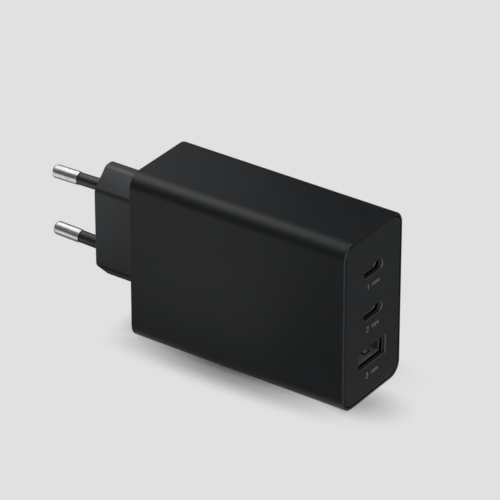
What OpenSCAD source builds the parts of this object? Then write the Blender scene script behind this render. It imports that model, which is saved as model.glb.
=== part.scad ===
// Wall charger with two oval ports and one rectangular port in its end face,
// and a two-pin plug block on its rear face. It stands on its long narrow side.
// X runs from the plug to the ports, Y across the thickness, and Z is up.
// The origin lies on the ground, under the middle of the whole length.

/* [Housing] */
// Length of the housing from its rear face to its port face
body_l = 70.5; // [70:0.5:90]
// Thickness of the housing
body_w = 28; // [27.5:0.5:36]
// Height of the housing as it stands
body_h = 51.5; // [51.5:0.5:64]
// Radius of the four long edges
edge_r = 4.4; // [4:0.1:6]
// Thickness of the housing walls
wall_t = 2; // [1.6:0.1:2.2]
// Radius of the edge round the rear face
rear_r = 0.4; // [0.2:0.1:1]
// Radius of the edge round the front lip
lip_r = 0.5; // [0.2:0.1:0.6]
// Thickness of the lip round the front panel
lip_t = 0.85; // [0.7:0.05:1.1]
// Height of the rails that hold the main board
rail_h = 1.6; // [1.2:0.1:1.9]
// Thickness of each rail
rail_t = 1; // [0.7:0.1:1.2]

/* [Front panel] */
// Thickness of the front panel
panel_t = 1.6; // [1.2:0.1:2.2]
// Width of the seam between the lip and the panel
seam_gap = 0.25; // [0.15:0.05:0.4]
// Radius of the edge of the panel
panel_edge = 0.2; // [0.1:0.05:0.3]
// Length of the skirt that plugs into the housing
skirt_l = 4; // [2:0.5:6]
// Thickness of the skirt
skirt_t = 1.1; // [0.8:0.1:1.2]
// Diameter of the posts that hold the port board
post_d = 3; // [2.6:0.1:3.6]
// Diameter of the pegs on the ends of the posts
peg_d = 1.4; // [1:0.1:2]
// Wall of the collars round the ports
collar_t = 1; // [0.6:0.1:1.2]
// Length of the collars behind the panel
collar_l = 2; // [1:0.5:3]

/* [Ports] */
// Distance between one port and the next
port_pitch = 13.1; // [12.5:0.1:14.5]
// Height of the middle port above the middle of the housing
port_rise = 0.2; // [-0.5:0.1:0.5]
// Width of the bevel round each port
port_bevel = 0.3; // [0.1:0.05:0.5]
// Space between the back of the panel and the metal shells
shell_gap = 0.5; // [0.3:0.1:1]
// Thickness of the metal shells
shell_t = 0.3; // [0.2:0.05:0.35]
// Width of the bevel inside the mouth of each metal shell
shell_bevel = 0.1; // [0.05:0.05:0.15]
// Width inside the oval shells
oval_w = 8.34; // [8:0.02:9]
// Height inside the oval shells
oval_h = 2.56; // [2.4:0.02:3]
// Length of the oval shells
oval_l = 8.5; // [7:0.5:10]
// Width of the tongue in the oval shells
oval_tongue_w = 6.69; // [6:0.01:7]
// Thickness of the tongue in the oval shells
oval_tongue_t = 0.58; // [0.5:0.02:0.8]
// Width inside the rectangular shell
rect_w = 12.5; // [12:0.1:13.5]
// Height inside the rectangular shell
rect_h = 5.12; // [4.8:0.02:5.6]
// Length of the rectangular shell
rect_l = 13; // [12:0.5:14]
// Width of the sprung fingers in the rectangular shell
finger_w = 1.7; // [1.2:0.1:2.4]
// Length of the sprung fingers
finger_l = 6.3; // [5:0.1:6.5]
// Height by which the sprung fingers rise off the shell
finger_rise = 0.42; // [0.2:0.02:0.5]
// Width of the slots round the sprung fingers
finger_slot = 0.55; // [0.3:0.05:0.7]
// Distance from the mouth of the shell to the sprung fingers
finger_back = 1.9; // [1.6:0.1:2.2]
// Width of the tongue in the rectangular shell
rect_tongue_w = 11.1; // [10.5:0.1:11.5]
// Thickness of the tongue in the rectangular shell
rect_tongue_t = 1.84; // [1.5:0.02:2]

/* [Plug block] */
// Length of the plug block
block_l = 17.3; // [15.5:0.1:24]
// Thickness of the plug block
block_w = 14; // [13.6:0.1:16]
// Height of the plug block
block_h = 35; // [33:0.5:38]
// Size of the sloping corners of the plug block
block_cut = 5.6; // [4:0.1:6]
// Radius that softens the corners of the plug block
block_r = 2.2; // [1.9:0.1:2.6]
// Radius of the edge round the end of the plug block
block_edge = 0.5; // [0.2:0.1:0.8]
// Thickness of the side walls of the plug block
block_wall = 1.6; // [1.2:0.1:1.7]
// Thickness of the end wall that holds the pins
block_face = 2.4; // [2:0.1:3]
// Height of the block above the middle of the housing
block_rise = 0.9; // [-1:0.1:1.5]

/* [Plug pins] */
// Diameter of the bare metal end of each pin
pin_d = 4; // [3.8:0.1:4.8]
// Length of each pin outside the block
pin_l = 19; // [17:0.5:22]
// Length of the bare metal end
pin_tip_l = 9; // [6:0.5:11]
// Radius of the rounded end of each pin
pin_round = 1.2; // [0.5:0.1:1.6]
// Diameter of the insulating sleeve on each pin
sleeve_d = 3.6; // [3.4:0.1:4]
// Thickness of the insulating sleeve
sleeve_t = 0.4; // [0.3:0.05:0.6]
// Radius of the rounded end of each sleeve
sleeve_round = 0.25; // [0.1:0.05:0.25]
// Distance between the pins where they leave the block
pin_pitch = 19; // [18:0.1:20]
// Lean of each pin towards the other, in degrees
pin_lean = 1.4; // [0:0.1:2]
// Length of each pin inside the block
root_l = 11; // [10:0.5:12]
// Wall of the bosses round the pins inside the block
boss_t = 1.6; // [1.2:0.1:1.8]

/* [Boards] */
// Thickness of both circuit boards
board_t = 1.2; // [0.8:0.1:1.6]
// Space behind the main board for its flat parts
board_back = 2.2; // [2:0.1:2.6]
// Thickness of the insulating sheets
sheet_t = 0.3; // [0.1:0.05:0.4]
// Thickness of the heat spreader
spreader_t = 0.5; // [0.3:0.1:0.8]
// Depth of the folded edges of the heat spreader
spreader_fold = 2.4; // [1.2:0.2:2.6]

/* [Transformer] */
// Length of the transformer core
core_l = 24; // [22:0.5:25]
// Width of the transformer core
core_w = 14.2; // [12:0.1:14.2]
// Height of the transformer core
core_h = 16; // [12:0.5:16]
// Diameter of the middle post of the core
core_post_d = 8; // [6:0.5:9]
// Diameter of the winding space in the core
core_window_d = 18; // [16:0.5:19]
// Thickness of the plates of the core
core_plate = 3.4; // [2.8:0.1:4]
// Thickness of the feet on each side of the core
bobbin_rail = 2; // [1.4:0.1:2.4]
// Wall of the bobbin
bobbin_t = 0.8; // [0.6:0.1:1]
// Height of the core above the board
core_lift = 1; // [0.6:0.1:1.6]
// Thickness of the tape on the core
tape_t = 0.15; // [0.05:0.05:0.3]

/* [Board parts] */
// Diameter of the two storage capacitors
storage_d = 12; // [10:0.5:12]
// Length of the two storage capacitors
storage_l = 25; // [20:0.5:25]
// Diameter of the output capacitors
output_d = 6.3; // [5:0.1:6.5]
// Height of the output capacitors
output_h = 8; // [6:0.5:12]
// Width of the output inductors
inductor_w = 6.5; // [5:0.1:7]
// Height of the output inductors
inductor_h = 5; // [3:0.5:7]
// Width of the input capacitor
input_w = 6; // [5:0.1:7]
// Length of the input capacitor
input_l = 13; // [10:0.5:14]
// Height of the input capacitor
input_h = 12; // [9:0.5:14]
// Diameter of the safety capacitor
safety_d = 7.4; // [6:0.1:9]
// Thickness of the safety capacitor
safety_t = 3; // [2:0.1:4]
// Radius of the choke ring
choke_r = 3.9; // [3.8:0.1:4.1]
// Radius of the body of the choke ring
choke_body_r = 1.7; // [1.4:0.1:1.8]
// Radius of the choke wire
choke_wire_r = 0.3; // [0.2:0.05:0.35]
// Diameter of the fuse
fuse_d = 4.2; // [3:0.1:5]
// Length of the fuse
fuse_l = 10; // [8:0.5:11]
// Diameter of the varistor
varistor_d = 8; // [6:0.1:9]
// Thickness of the varistor
varistor_t = 3.6; // [2:0.1:4.5]
// Thickness of the leads of the upright parts
lead_d = 0.7; // [0.5:0.1:0.9]
// Thickness of the chips
chip_t = 0.9; // [0.6:0.1:1.3]
// Width of the chips
chip_w = 5; // [4:0.5:6]
// Width of the strip that holds the header pins
header_w = 1.6; // [1.2:0.1:2]
// Height of the strip that holds the header pins
header_h = 2.2; // [1.8:0.1:3]
// Thickness of the header pins
header_pin = 0.5; // [0.4:0.05:0.7]

/* [Hidden] */
$fn = 64;

// Clearances
press_fit = 0.05;
slide_fit = 0.1;
mouth_fit = 0.15;
board_gap = 0.3;
cut = 0.02;

// Places along the length
total_l = pin_l + block_l + body_l;
x_tip = -total_l / 2;
x_block = x_tip + pin_l;
x_body = x_block + block_l;
x_face = x_body + body_l;
x_panel = x_face - panel_t;
x_shell = x_panel - shell_gap;
x_port_board = x_shell - rect_l;

// Places in height and thickness
z_mid = body_h / 2;
z_block = z_mid + block_rise;
z_port = z_mid + port_rise;
z_ports = [z_port + port_pitch, z_port];
z_rect = z_port - port_pitch;
y_in = body_w / 2 - wall_t;
inner_r = edge_r - wall_t;
panel_r = edge_r - lip_t - seam_gap;

// Outlines, as the points that the corner arcs turn about
body_points = rectangle_points(body_w - 2 * edge_r, body_h - 2 * edge_r);
block_points = octagon_points(
    block_w - 2 * block_r, block_h - 2 * block_r, block_cut - block_r * (2 - sqrt(2)));
neck_r = block_r - 0.6;
neck_l = wall_t + 1.5;

// Main board
board_y = y_in - board_back - board_t;
board_x0 = x_body + wall_t + 0.8;
board_x1 = x_port_board - board_t - 0.7;
board_l = board_x1 - board_x0;
board_h = body_h - 2 * (wall_t + board_gap);
board_z0 = wall_t + rail_h + board_gap;
post_y = y_in - 3.2;
post_z = body_h / 2 - wall_t - 4.2;

// Plug contacts
contact_t = 0.5;
contact_w = 3;
boss_l = root_l - 2;
contact_x = boss_l + press_fit;
contact_y = pin_d / 2 + 1;
contact_end = board_x0 + 1.2 + contact_t - x_block;

// Columns on the main board: input parts, then storage and transformer, then output parts
gap = 0.4;
input_x = 2.7;
input_inset = 0.5;
disc_gap = 2;
choke_turn_r = choke_body_r + press_fit + choke_wire_r;
choke_out_r = choke_r + choke_turn_r + choke_wire_r;
choke_x = input_x + choke_out_r;
middle_x = input_x + 2 * choke_out_r + 1.5 * gap;
front_x = board_l - header_w - gap - max(output_d, inductor_w) / 2;
lead_reach = 1;

// Rows on the main board, from its lower rail
storage_z = [storage_d / 2, 1.5 * storage_d + gap];
core_z = 2 * storage_d + 2 * gap + bobbin_rail + core_w / 2;
core_x = middle_x + core_l / 2;
near_y = y_in - slide_fit - spreader_t - sheet_t;
pad_t = board_y + near_y - core_lift - core_h;
window_h = core_h - 2 * core_plate;
flange_z = core_lift + core_plate + slide_fit;
row_low = 1;
fuse_z = row_low + fuse_l / 2;
choke_gap = 3.75;
choke_z = row_low + fuse_l + choke_gap + choke_out_r;
input_z = choke_z + choke_out_r + gap + input_l / 2;
output_low = 0.45;
output_gap = 0.5;
inductor_room = 4.4;
inductor_gap = 1.5;
output_z = [for (i = [0 : 2]) output_low + output_d / 2 + i * (output_d + output_gap)];
inductor_z0 = output_z[2] + (output_d + inductor_w) / 2 + inductor_room;
inductor_z = [for (i = [0, 1]) inductor_z0 + i * (inductor_w + inductor_gap)];
header_pitch = 2.54;
header_pins = 9;
header_z = 10;

function rectangle_points(w, h) = [[w / 2, -h / 2], [w / 2, h / 2], [-w / 2, h / 2], [-w / 2, -h / 2]];

function octagon_points(w, h, c) = [
    [w / 2, -h / 2 + c], [w / 2, h / 2 - c], [w / 2 - c, h / 2], [-w / 2 + c, h / 2],
    [-w / 2, h / 2 - c], [-w / 2, -h / 2 + c], [-w / 2 + c, -h / 2], [w / 2 - c, -h / 2]
];

// Turns a shape drawn in X and Y and raised in Z so that it runs along the length
module along_x(x, z = 0) {
    translate([x, 0, z])
        rotate([90, 0, 90])
            children();
}

// Flat outline: the points, grown by a radius all round
module rounded(points, r) {
    polygon(points);
    for (i = [0 : len(points) - 1]) {
        p = points[i];
        q = points[(i + 1) % len(points)];
        d = (q - p) / norm(q - p);
        n = [d[1], -d[0]] * r;
        polygon([p, p + n, q + n, q]);
        translate(p)
            circle(r);
    }
}

// Solid bar whose sides follow a section: children() is drawn from the points outwards
module profiled_bar(points, l) {
    linear_extrude(l)
        polygon(points);
    for (i = [0 : len(points) - 1]) {
        p = points[i];
        q = points[(i + 1) % len(points)];
        side = q - p;
        translate(q)
            rotate([90, 0, atan2(side[1], side[0]) - 90])
                linear_extrude(norm(side))
                    children();
        translate(p)
            rotate_extrude()
                children();
    }
}

// Half section of a bar, with a radius at each end of its side
module soft_section(r, l, low, high) {
    translate([0, low])
        square([r, l - low - high]);
    square([r - low, l - high]);
    translate([0, low])
        square([r - high, l - low]);
    if (low > 0)
        translate([r - low, low])
            quarter_disc(low, -1);
    if (high > 0)
        translate([r - high, l - high])
            quarter_disc(high, 1);
}

module quarter_disc(r, way) {
    intersection() {
        circle(r);
        translate([0, way < 0 ? -r : 0])
            square(r);
    }
}

// End of a bar whose edge curves inwards in steps
module soft_end(points, r, edge) {
    steps = 5;
    layer = 0.01;
    hull()
        for (i = [0 : steps]) {
            a = 90 * i / steps;
            translate([0, 0, (edge - layer) * (1 - cos(a))])
                linear_extrude(layer)
                    rounded(points, r - edge * (1 - sin(a)), $fn = 32);
        }
}

module box(w, l, h) {
    translate([-w / 2, -l / 2, 0])
        cube([w, l, h]);
}

module stadium(w, h) {
    square([w - h, h], center = true);
    for (side = [-1, 1])
        translate([side * (w - h) / 2, 0])
            circle(h / 2);
}

// Widening mouth of an oval hole
module stadium_bevel(w, h, grow, depth) {
    for (side = [-1, 1])
        translate([side * (w - h) / 2, 0, 0])
            cylinder(d1 = h, d2 = h + 2 * grow, h = depth);
    translate([-(w - h) / 2, 0, 0])
        rotate([90, 0, 90])
            linear_extrude(w - h)
                polygon([[-h / 2, 0], [h / 2, 0], [h / 2 + grow, depth], [-h / 2 - grow, depth]]);
}

// Widening mouth of a rectangular hole
module rectangle_bevel(w, h, grow, depth) {
    intersection() {
        translate([-w, 0, 0])
            rotate([90, 0, 90])
                linear_extrude(2 * w)
                    polygon([[-h / 2, 0], [h / 2, 0], [h / 2 + grow, depth], [-h / 2 - grow, depth]]);
        translate([0, h, 0])
            rotate([90, 0, 0])
                linear_extrude(2 * h)
                    polygon([[-w / 2, 0], [w / 2, 0], [w / 2 + grow, depth], [-w / 2 - grow, depth]]);
    }
}

module rectangle_tube(w, h, t, l) {
    difference() {
        translate([-w / 2 - t, -h / 2 - t, 0])
            cube([w + 2 * t, h + 2 * t, l]);
        translate([-w / 2, -h / 2, -cut])
            cube([w, h, l + 2 * cut]);
    }
}

// Frame of one pin: X runs into the block along the leaning pin
module at_pin(side) {
    translate([x_block, 0, z_block + side * pin_pitch / 2])
        rotate([0, -side * pin_lean, 0])
            children();
}

// Place on the component side of the main board, with Z away from the board
module on_board(x, z) {
    translate([board_x0 + x, board_y, board_z0 + z])
        rotate([90, 0, 0])
            children();
}

// Place on the flat side of the main board, with Z away from the board
module on_back(x, z) {
    translate([board_x0 + x, board_y + board_t, board_z0 + z])
        rotate([-90, 0, 0])
            children();
}

module housing() {
    rail_l = board_x1 - 1 - x_body - wall_t;
    color("#232426")
        union() {
            difference() {
                along_x(x_body, z_mid)
                    profiled_bar(body_points, body_l)
                        soft_section(edge_r, body_l, rear_r, lip_r);
                along_x(x_body + wall_t, z_mid)
                    linear_extrude(body_l)
                        rounded(body_points, inner_r);
                along_x(x_panel, z_mid)
                    linear_extrude(body_l)
                        rounded(body_points, edge_r - lip_t);
                along_x(x_body - wall_t, z_block)
                    linear_extrude(3 * wall_t)
                        rounded(block_points, neck_r + slide_fit);
            }
            for (side = [0, 1])
                translate([0, 0, z_mid])
                    mirror([0, 0, side])
                        translate([x_body + wall_t - cut, 0, wall_t - z_mid - cut]) {
                            translate([0, board_y - slide_fit - rail_t, 0])
                                cube([rail_l, rail_t, rail_h]);
                            translate([0, board_y + board_t + slide_fit, 0])
                                cube([rail_l, rail_t, rail_h]);
                        }
        }
}

// Hole for a port and its metal shell, seen from the front, with Z out of the panel
module oval_cutout() {
    w = oval_w + 2 * shell_t;
    h = oval_h + 2 * shell_t;
    translate([0, 0, -shell_gap - collar_l])
        linear_extrude(shell_gap + collar_l)
            stadium(w + 2 * slide_fit, h + 2 * slide_fit);
    translate([0, 0, -cut])
        linear_extrude(panel_t + 2 * cut)
            stadium(oval_w + 2 * mouth_fit, oval_h + 2 * mouth_fit);
    translate([0, 0, panel_t - port_bevel])
        stadium_bevel(
            oval_w + 2 * mouth_fit, oval_h + 2 * mouth_fit, port_bevel + cut, port_bevel + cut);
}

module rect_cutout() {
    w = rect_w + 2 * (shell_t + slide_fit);
    h = rect_h + 2 * (shell_t + slide_fit);
    translate([-w / 2, -h / 2, -shell_gap - collar_l])
        cube([w, h, shell_gap + collar_l]);
    translate([-rect_w / 2 - mouth_fit, -rect_h / 2 - mouth_fit, -cut])
        cube([rect_w + 2 * mouth_fit, rect_h + 2 * mouth_fit, panel_t + 2 * cut]);
    translate([0, 0, panel_t - port_bevel])
        rectangle_bevel(
            rect_w + 2 * mouth_fit, rect_h + 2 * mouth_fit, port_bevel + cut, port_bevel + cut);
}

module front_panel() {
    collar_grow = 2 * (shell_t + slide_fit + collar_t);
    color("#27282a")
        union() {
            difference() {
                union() {
                    along_x(x_panel, z_mid)
                        profiled_bar(body_points, panel_t)
                            soft_section(panel_r, panel_t, 0, panel_edge);
                    for (z = z_ports)
                        along_x(x_panel - collar_l, z)
                            linear_extrude(collar_l + cut)
                                stadium(oval_w + collar_grow, oval_h + collar_grow);
                    along_x(x_panel - collar_l, z_rect)
                        box(rect_w + collar_grow, rect_h + collar_grow, collar_l + cut);
                }
                for (z = z_ports)
                    along_x(x_panel, z)
                        oval_cutout();
                along_x(x_panel, z_rect)
                    rect_cutout();
            }
            along_x(x_panel - skirt_l, z_mid)
                linear_extrude(skirt_l + cut)
                    difference() {
                        rounded(body_points, inner_r - slide_fit);
                        rounded(body_points, inner_r - slide_fit - skirt_t);
                    }
            for (y = [-post_y, post_y], z = [-post_z, post_z])
                along_x(x_port_board, z_mid + z)
                    translate([y, 0, 0]) {
                        cylinder(d = post_d, h = x_panel - x_port_board + cut);
                        translate([0, 0, -board_t - 0.5])
                            cylinder(d = peg_d, h = board_t + 0.5 + cut);
                    }
        }
}

module plug_block() {
    color("#242527")
        difference() {
            union() {
                difference() {
                    union() {
                        along_x(x_block, z_block)
                            soft_end(block_points, block_r, block_edge);
                        along_x(x_block + block_edge, z_block)
                            linear_extrude(block_l - block_edge)
                                rounded(block_points, block_r);
                        along_x(x_body - cut, z_block)
                            linear_extrude(neck_l + cut)
                                rounded(block_points, neck_r);
                    }
                    along_x(x_block + block_face, z_block)
                        linear_extrude(block_l + neck_l)
                            rounded(block_points, block_r - block_wall);
                }
                for (side = [-1, 1])
                    at_pin(side)
                        translate([block_face / 2, 0, 0])
                            rotate([0, 90, 0])
                                cylinder(d = pin_d + 2 * boss_t, h = boss_l - block_face / 2);
            }
            for (side = [-1, 1])
                at_pin(side)
                    translate([-block_face, 0, 0])
                        rotate([0, 90, 0])
                            cylinder(d = pin_d + 2 * press_fit, h = block_face + boss_l + 1);
        }
}

// Round pin with a waist under its sleeve and a rounded tip
module pin(side) {
    bare = pin_l - pin_tip_l;
    waist_r = sleeve_d / 2 - sleeve_t - press_fit;
    color("#d8d6d2")
        at_pin(side)
            rotate([0, -90, 0])
                rotate_extrude() {
                    translate([0, -root_l])
                        square([pin_d / 2, root_l]);
                    square([waist_r, bare + cut]);
                    translate([0, bare])
                        square([pin_d / 2, pin_tip_l - pin_round]);
                    translate([0, bare])
                        square([pin_d / 2 - pin_round, pin_tip_l]);
                    translate([pin_d / 2 - pin_round, pin_l - pin_round])
                        quarter_disc(pin_round, 1);
                }
}

module pin_sleeve(side) {
    color("#1c1d1e")
        at_pin(side)
            rotate([0, -90, 0])
                rotate_extrude()
                    translate([sleeve_d / 2 - sleeve_t, slide_fit])
                        soft_section(sleeve_t, pin_l - pin_tip_l - slide_fit - press_fit, 0, sleeve_round);
}

// Bent strip from the root of a pin to its slot in the main board
module contact_strip(grow) {
    end_y = board_y + board_t + 0.8;
    translate([contact_x, contact_y - grow, -contact_w / 2 - grow])
        cube([contact_end - contact_x, contact_t + 2 * grow, contact_w + 2 * grow]);
    translate([contact_end - contact_t - grow, contact_y - grow, -contact_w / 2 - grow])
        cube([contact_t + 2 * grow, end_y - contact_y + grow, contact_w + 2 * grow]);
}

module contact(side) {
    plate_w = 2 * (contact_y + contact_t);
    plate_h = pin_d + 2.4;
    color("#c9a24b")
        at_pin(side)
            difference() {
                union() {
                    translate([contact_x, -plate_w / 2, -plate_h / 2])
                        cube([contact_t, plate_w, plate_h]);
                    contact_strip(0);
                }
                rotate([0, 90, 0])
                    cylinder(d = pin_d + 2 * press_fit, h = contact_x + 2);
            }
}

module contact_carrier() {
    carrier_t = 2;
    color("#e3dfd2")
        difference() {
            along_x(x_body - 1, z_block)
                linear_extrude(carrier_t)
                    rounded(block_points, block_r - block_wall - slide_fit);
            for (side = [-1, 1])
                at_pin(side)
                    contact_strip(slide_fit);
        }
}

module port_board() {
    color("#1d4a34")
        along_x(x_port_board - board_t, z_mid)
            linear_extrude(board_t)
                difference() {
                    rounded(body_points, inner_r - 0.5);
                    for (y = [-post_y, post_y], z = [-post_z, post_z])
                        translate([y, z])
                            circle(d = peg_d + 2 * slide_fit);
                    for (i = [0 : header_pins - 1])
                        translate([
                            board_y - header_h / 2,
                            board_z0 + header_z + i * header_pitch - z_mid
                        ])
                            square(header_pin + 2 * slide_fit, center = true);
                }
}

module main_board() {
    color("#1d4a34")
        difference() {
            translate([board_x0, board_y, wall_t + board_gap])
                cube([board_l, board_t, board_h]);
            for (side = [-1, 1])
                at_pin(side)
                    contact_strip(slide_fit);
        }
}

// Strip of plastic on the front edge of the main board, with a square hole for each pin
module header_strip() {
    l = header_pins * header_pitch;
    hole = header_pin + 2 * press_fit;
    color("#151515")
        on_board(board_l - header_w, header_z)
            difference() {
                translate([0, -header_pitch / 2, 0])
                    cube([header_w, l, header_h]);
                for (i = [0 : header_pins - 1])
                    translate([header_w / 2, i * header_pitch, header_h / 2])
                        cube([2 * header_w, hole, hole], center = true);
            }
}

module header_pins() {
    l = header_w + 0.7 + board_t + 0.8;
    color("#c9a24b")
        on_board(board_l - header_w, header_z)
            for (i = [0 : header_pins - 1])
                translate([0, i * header_pitch - header_pin / 2, (header_h - header_pin) / 2])
                    cube([l, header_pin, header_pin]);
}

module port_chips() {
    color("#1b1b1d")
        for (z = [z_ports[0], z_ports[1], z_rect])
            along_x(x_port_board - board_t - chip_t, z) {
                translate([-chip_w, 0, 0])
                    box(chip_w, chip_w, chip_t);
                translate([0.3 * chip_w, 0, 0])
                    box(0.6 * chip_w, 0.7 * chip_w, chip_t);
            }
}

module oval_shell(z) {
    color("#b9bbbd")
        along_x(x_shell - oval_l, z)
            difference() {
                linear_extrude(oval_l)
                    difference() {
                        stadium(oval_w + 2 * shell_t, oval_h + 2 * shell_t);
                        stadium(oval_w, oval_h);
                    }
                translate([0, 0, oval_l - shell_bevel])
                    stadium_bevel(oval_w, oval_h, shell_bevel + cut, shell_bevel + cut);
            }
}

// Moulding that fills the back of the shell, carries the tongue and stands on the port board
module oval_insulator(z) {
    base_l = rect_l - oval_l;
    plug_l = 2.2;
    tongue_l = oval_l - 0.8;
    color("#141415")
        along_x(x_port_board, z) {
            box(oval_w + 1.2, oval_h + 1.6, base_l);
            translate([0, 0, base_l - cut])
                linear_extrude(plug_l + cut)
                    stadium(oval_w - 2 * press_fit, oval_h - 2 * press_fit);
            translate([0, 0, base_l])
                box(oval_tongue_w, oval_tongue_t, tongue_l - 0.3);
            translate([0, 0, base_l])
                box(oval_tongue_w - 0.6, oval_tongue_t, tongue_l);
        }
}

// Twelve flat contacts on each face of the tongue
module oval_contacts(z) {
    contact_pitch = 0.5;
    contact_count = 12;
    from_base = rect_l - oval_l + 2.2;
    l = 4.6;
    color("#d6b25a")
        along_x(x_port_board + from_base, z)
            for (face = [0, 1], i = [0 : contact_count - 1])
                mirror([0, face, 0])
                    translate([(i - (contact_count - 1) / 2) * contact_pitch - 0.125, oval_tongue_t / 2, 0])
                        cube([0.25, 0.06, l]);
}

// Sprung finger that rises from the wall of a shell and turns down again at its tip
module sprung_finger() {
    bend = 0.8 * finger_l;
    tip = 0.3 * finger_rise;
    translate([finger_w / 2, 0, 0])
        rotate([0, -90, 0])
            linear_extrude(finger_w)
                polygon([
                    [-cut, 0], [bend, finger_rise], [finger_l, tip],
                    [finger_l, tip + shell_t], [bend, finger_rise + shell_t], [-cut, shell_t]
                ]);
}

// Drawn metal box with two sprung fingers cut in its floor and two in its roof
module rect_shell() {
    slot = finger_slot;
    finger_z = rect_l - finger_back;
    color("#b9bbbd")
        along_x(x_port_board, z_rect)
            for (face = [0, 1])
                mirror([0, face, 0]) {
                    difference() {
                        intersection() {
                            rectangle_tube(rect_w, rect_h, shell_t, rect_l);
                            translate([-rect_w, -rect_h, 0])
                                cube([2 * rect_w, rect_h + cut * face, rect_l]);
                        }
                        translate([0, 0, rect_l - shell_bevel])
                            rectangle_bevel(rect_w, rect_h, shell_bevel + cut, shell_bevel + cut);
                        for (side = [-1, 1])
                            translate([side * rect_w / 4, -rect_h / 2, finger_z - finger_l])
                                translate([-finger_w / 2 - slot, -shell_t - cut, 0])
                                    cube([finger_w + 2 * slot, shell_t + 2 * cut, finger_l + slot]);
                    }
                    for (side = [-1, 1])
                        translate([side * rect_w / 4, -rect_h / 2 - shell_t, finger_z - finger_l])
                            sprung_finger();
                }
}

// Moulding with the wide tongue, which lies near the roof of the shell
module rect_insulator() {
    base_l = 3.4;
    tongue_gap = 0.6;
    tongue_l = rect_l - 1.1;
    color("#e6e6e4")
        along_x(x_port_board, z_rect)
            union() {
                box(rect_w - 2 * press_fit, rect_h - 2 * press_fit, base_l);
                translate([
                    -rect_tongue_w / 2,
                    rect_h / 2 - tongue_gap - rect_tongue_t,
                    base_l - cut
                ])
                    cube([rect_tongue_w, rect_tongue_t, tongue_l - base_l]);
            }
}

// Four contacts under the tongue, each with a raised end
module rect_contacts() {
    contact_l = 7;
    strip_t = 0.25;
    color("#d6b25a")
        along_x(x_port_board + 3.4, z_rect)
            for (x = [-3.5, -1, 1, 3.5])
                translate([x - 0.5, rect_h / 2 - 0.6 - rect_tongue_t - strip_t, 0]) {
                    cube([1, strip_t, contact_l]);
                    translate([0, 0, contact_l - 1.2])
                        rotate([0, 90, 0])
                            cylinder(r = strip_t, h = 1);
                }
}

// One half of the ferrite core, lying with its plate down
module core_half() {
    difference() {
        box(core_l, core_w, core_h / 2);
        translate([0, 0, core_plate])
            difference() {
                cylinder(d = core_window_d, h = core_h);
                translate([0, 0, -1])
                    cylinder(d = core_post_d, h = core_h + 2);
            }
    }
}

module core_inner() {
    color("#3a3b3d")
        on_board(core_x, core_z)
            translate([0, 0, core_lift])
                core_half();
}

module core_outer() {
    color("#3a3b3d")
        on_board(core_x, core_z)
            translate([0, 0, core_lift + core_h])
                mirror([0, 0, 1])
                    core_half();
}

// Spool on the middle post, with a rail of plastic feet on each side of the core
module bobbin() {
    spool_h = window_h - 2 * slide_fit;
    flange_d = core_window_d - 2 * slide_fit;
    post_d = core_post_d + 2 * slide_fit;
    foot_l = core_window_d - 4;
    foot_gap = 2;
    color("#7a5a2c")
        on_board(core_x, core_z) {
            difference() {
                translate([0, 0, flange_z])
                    union() {
                        cylinder(d = post_d + 2 * bobbin_t, h = spool_h);
                        cylinder(d = flange_d, h = bobbin_t);
                        translate([0, 0, spool_h - bobbin_t])
                            cylinder(d = flange_d, h = bobbin_t);
                    }
                cylinder(d = post_d, h = core_h + 2);
            }
            for (side = [0, 1])
                mirror([0, side, 0])
                    difference() {
                        translate([-foot_l / 2, core_w / 2 + slide_fit, 0])
                            cube([foot_l, bobbin_rail - slide_fit, flange_z + bobbin_t]);
                        translate([-foot_l / 2 + foot_gap, core_w / 2, -cut])
                            cube([foot_l - 2 * foot_gap, 2 * bobbin_rail, core_lift + cut]);
                    }
        }
}

module winding() {
    low = flange_z + bobbin_t + press_fit;
    h = window_h - 2 * (slide_fit + bobbin_t + press_fit);
    color("#b8792f")
        on_board(core_x, core_z)
            translate([0, 0, low])
                difference() {
                    cylinder(d = core_window_d - 2 * (slide_fit + gap), h = h);
                    translate([0, 0, -cut])
                        cylinder(d = core_post_d + 2 * (slide_fit + bobbin_t + press_fit), h = h + 2 * cut);
                }
}

// Band of tape on the ends of both core halves
module core_tape() {
    band = 3;
    color("#d9c14a")
        on_board(core_x, core_z)
            for (side = [0, 1])
                mirror([side, 0, 0])
                    translate([core_l / 2, -core_w / 2, core_lift + core_h / 2 - band])
                        cube([tape_t, core_w, 2 * band]);
}

module thermal_pad() {
    color("#8d9aa6")
        on_board(core_x, core_z)
            translate([0, 0, core_lift + core_h])
                box(core_l - 2, core_w - 2, pad_t);
}

// Lying can with a groove near its sealed end and two leads down to the board
module storage_capacitor(row) {
    r = storage_d / 2;
    groove = 0.5;
    groove_x = storage_l - 3;
    seal = 0.4;
    rim = 0.3;
    color("#2c3e57")
        on_board(middle_x, storage_z[row])
            translate([0, 0, r]) {
                rotate([0, 90, 0])
                    rotate_extrude()
                        difference() {
                            square([r, storage_l]);
                            translate([r + groove / 2, groove_x])
                                circle(groove);
                            translate([-cut, storage_l - seal])
                                square([r - rim + cut, 2 * seal]);
                        }
                for (side = [-1, 1])
                    translate([storage_l - 2 * seal, side * storage_d / 5, 0]) {
                        rotate([0, 90, 0])
                            cylinder(d = lead_d, h = lead_reach);
                        translate([lead_reach, 0, 0])
                            sphere(d = lead_d);
                        translate([lead_reach, 0, -r])
                            cylinder(d = lead_d, h = r);
                    }
            }
}

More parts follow.
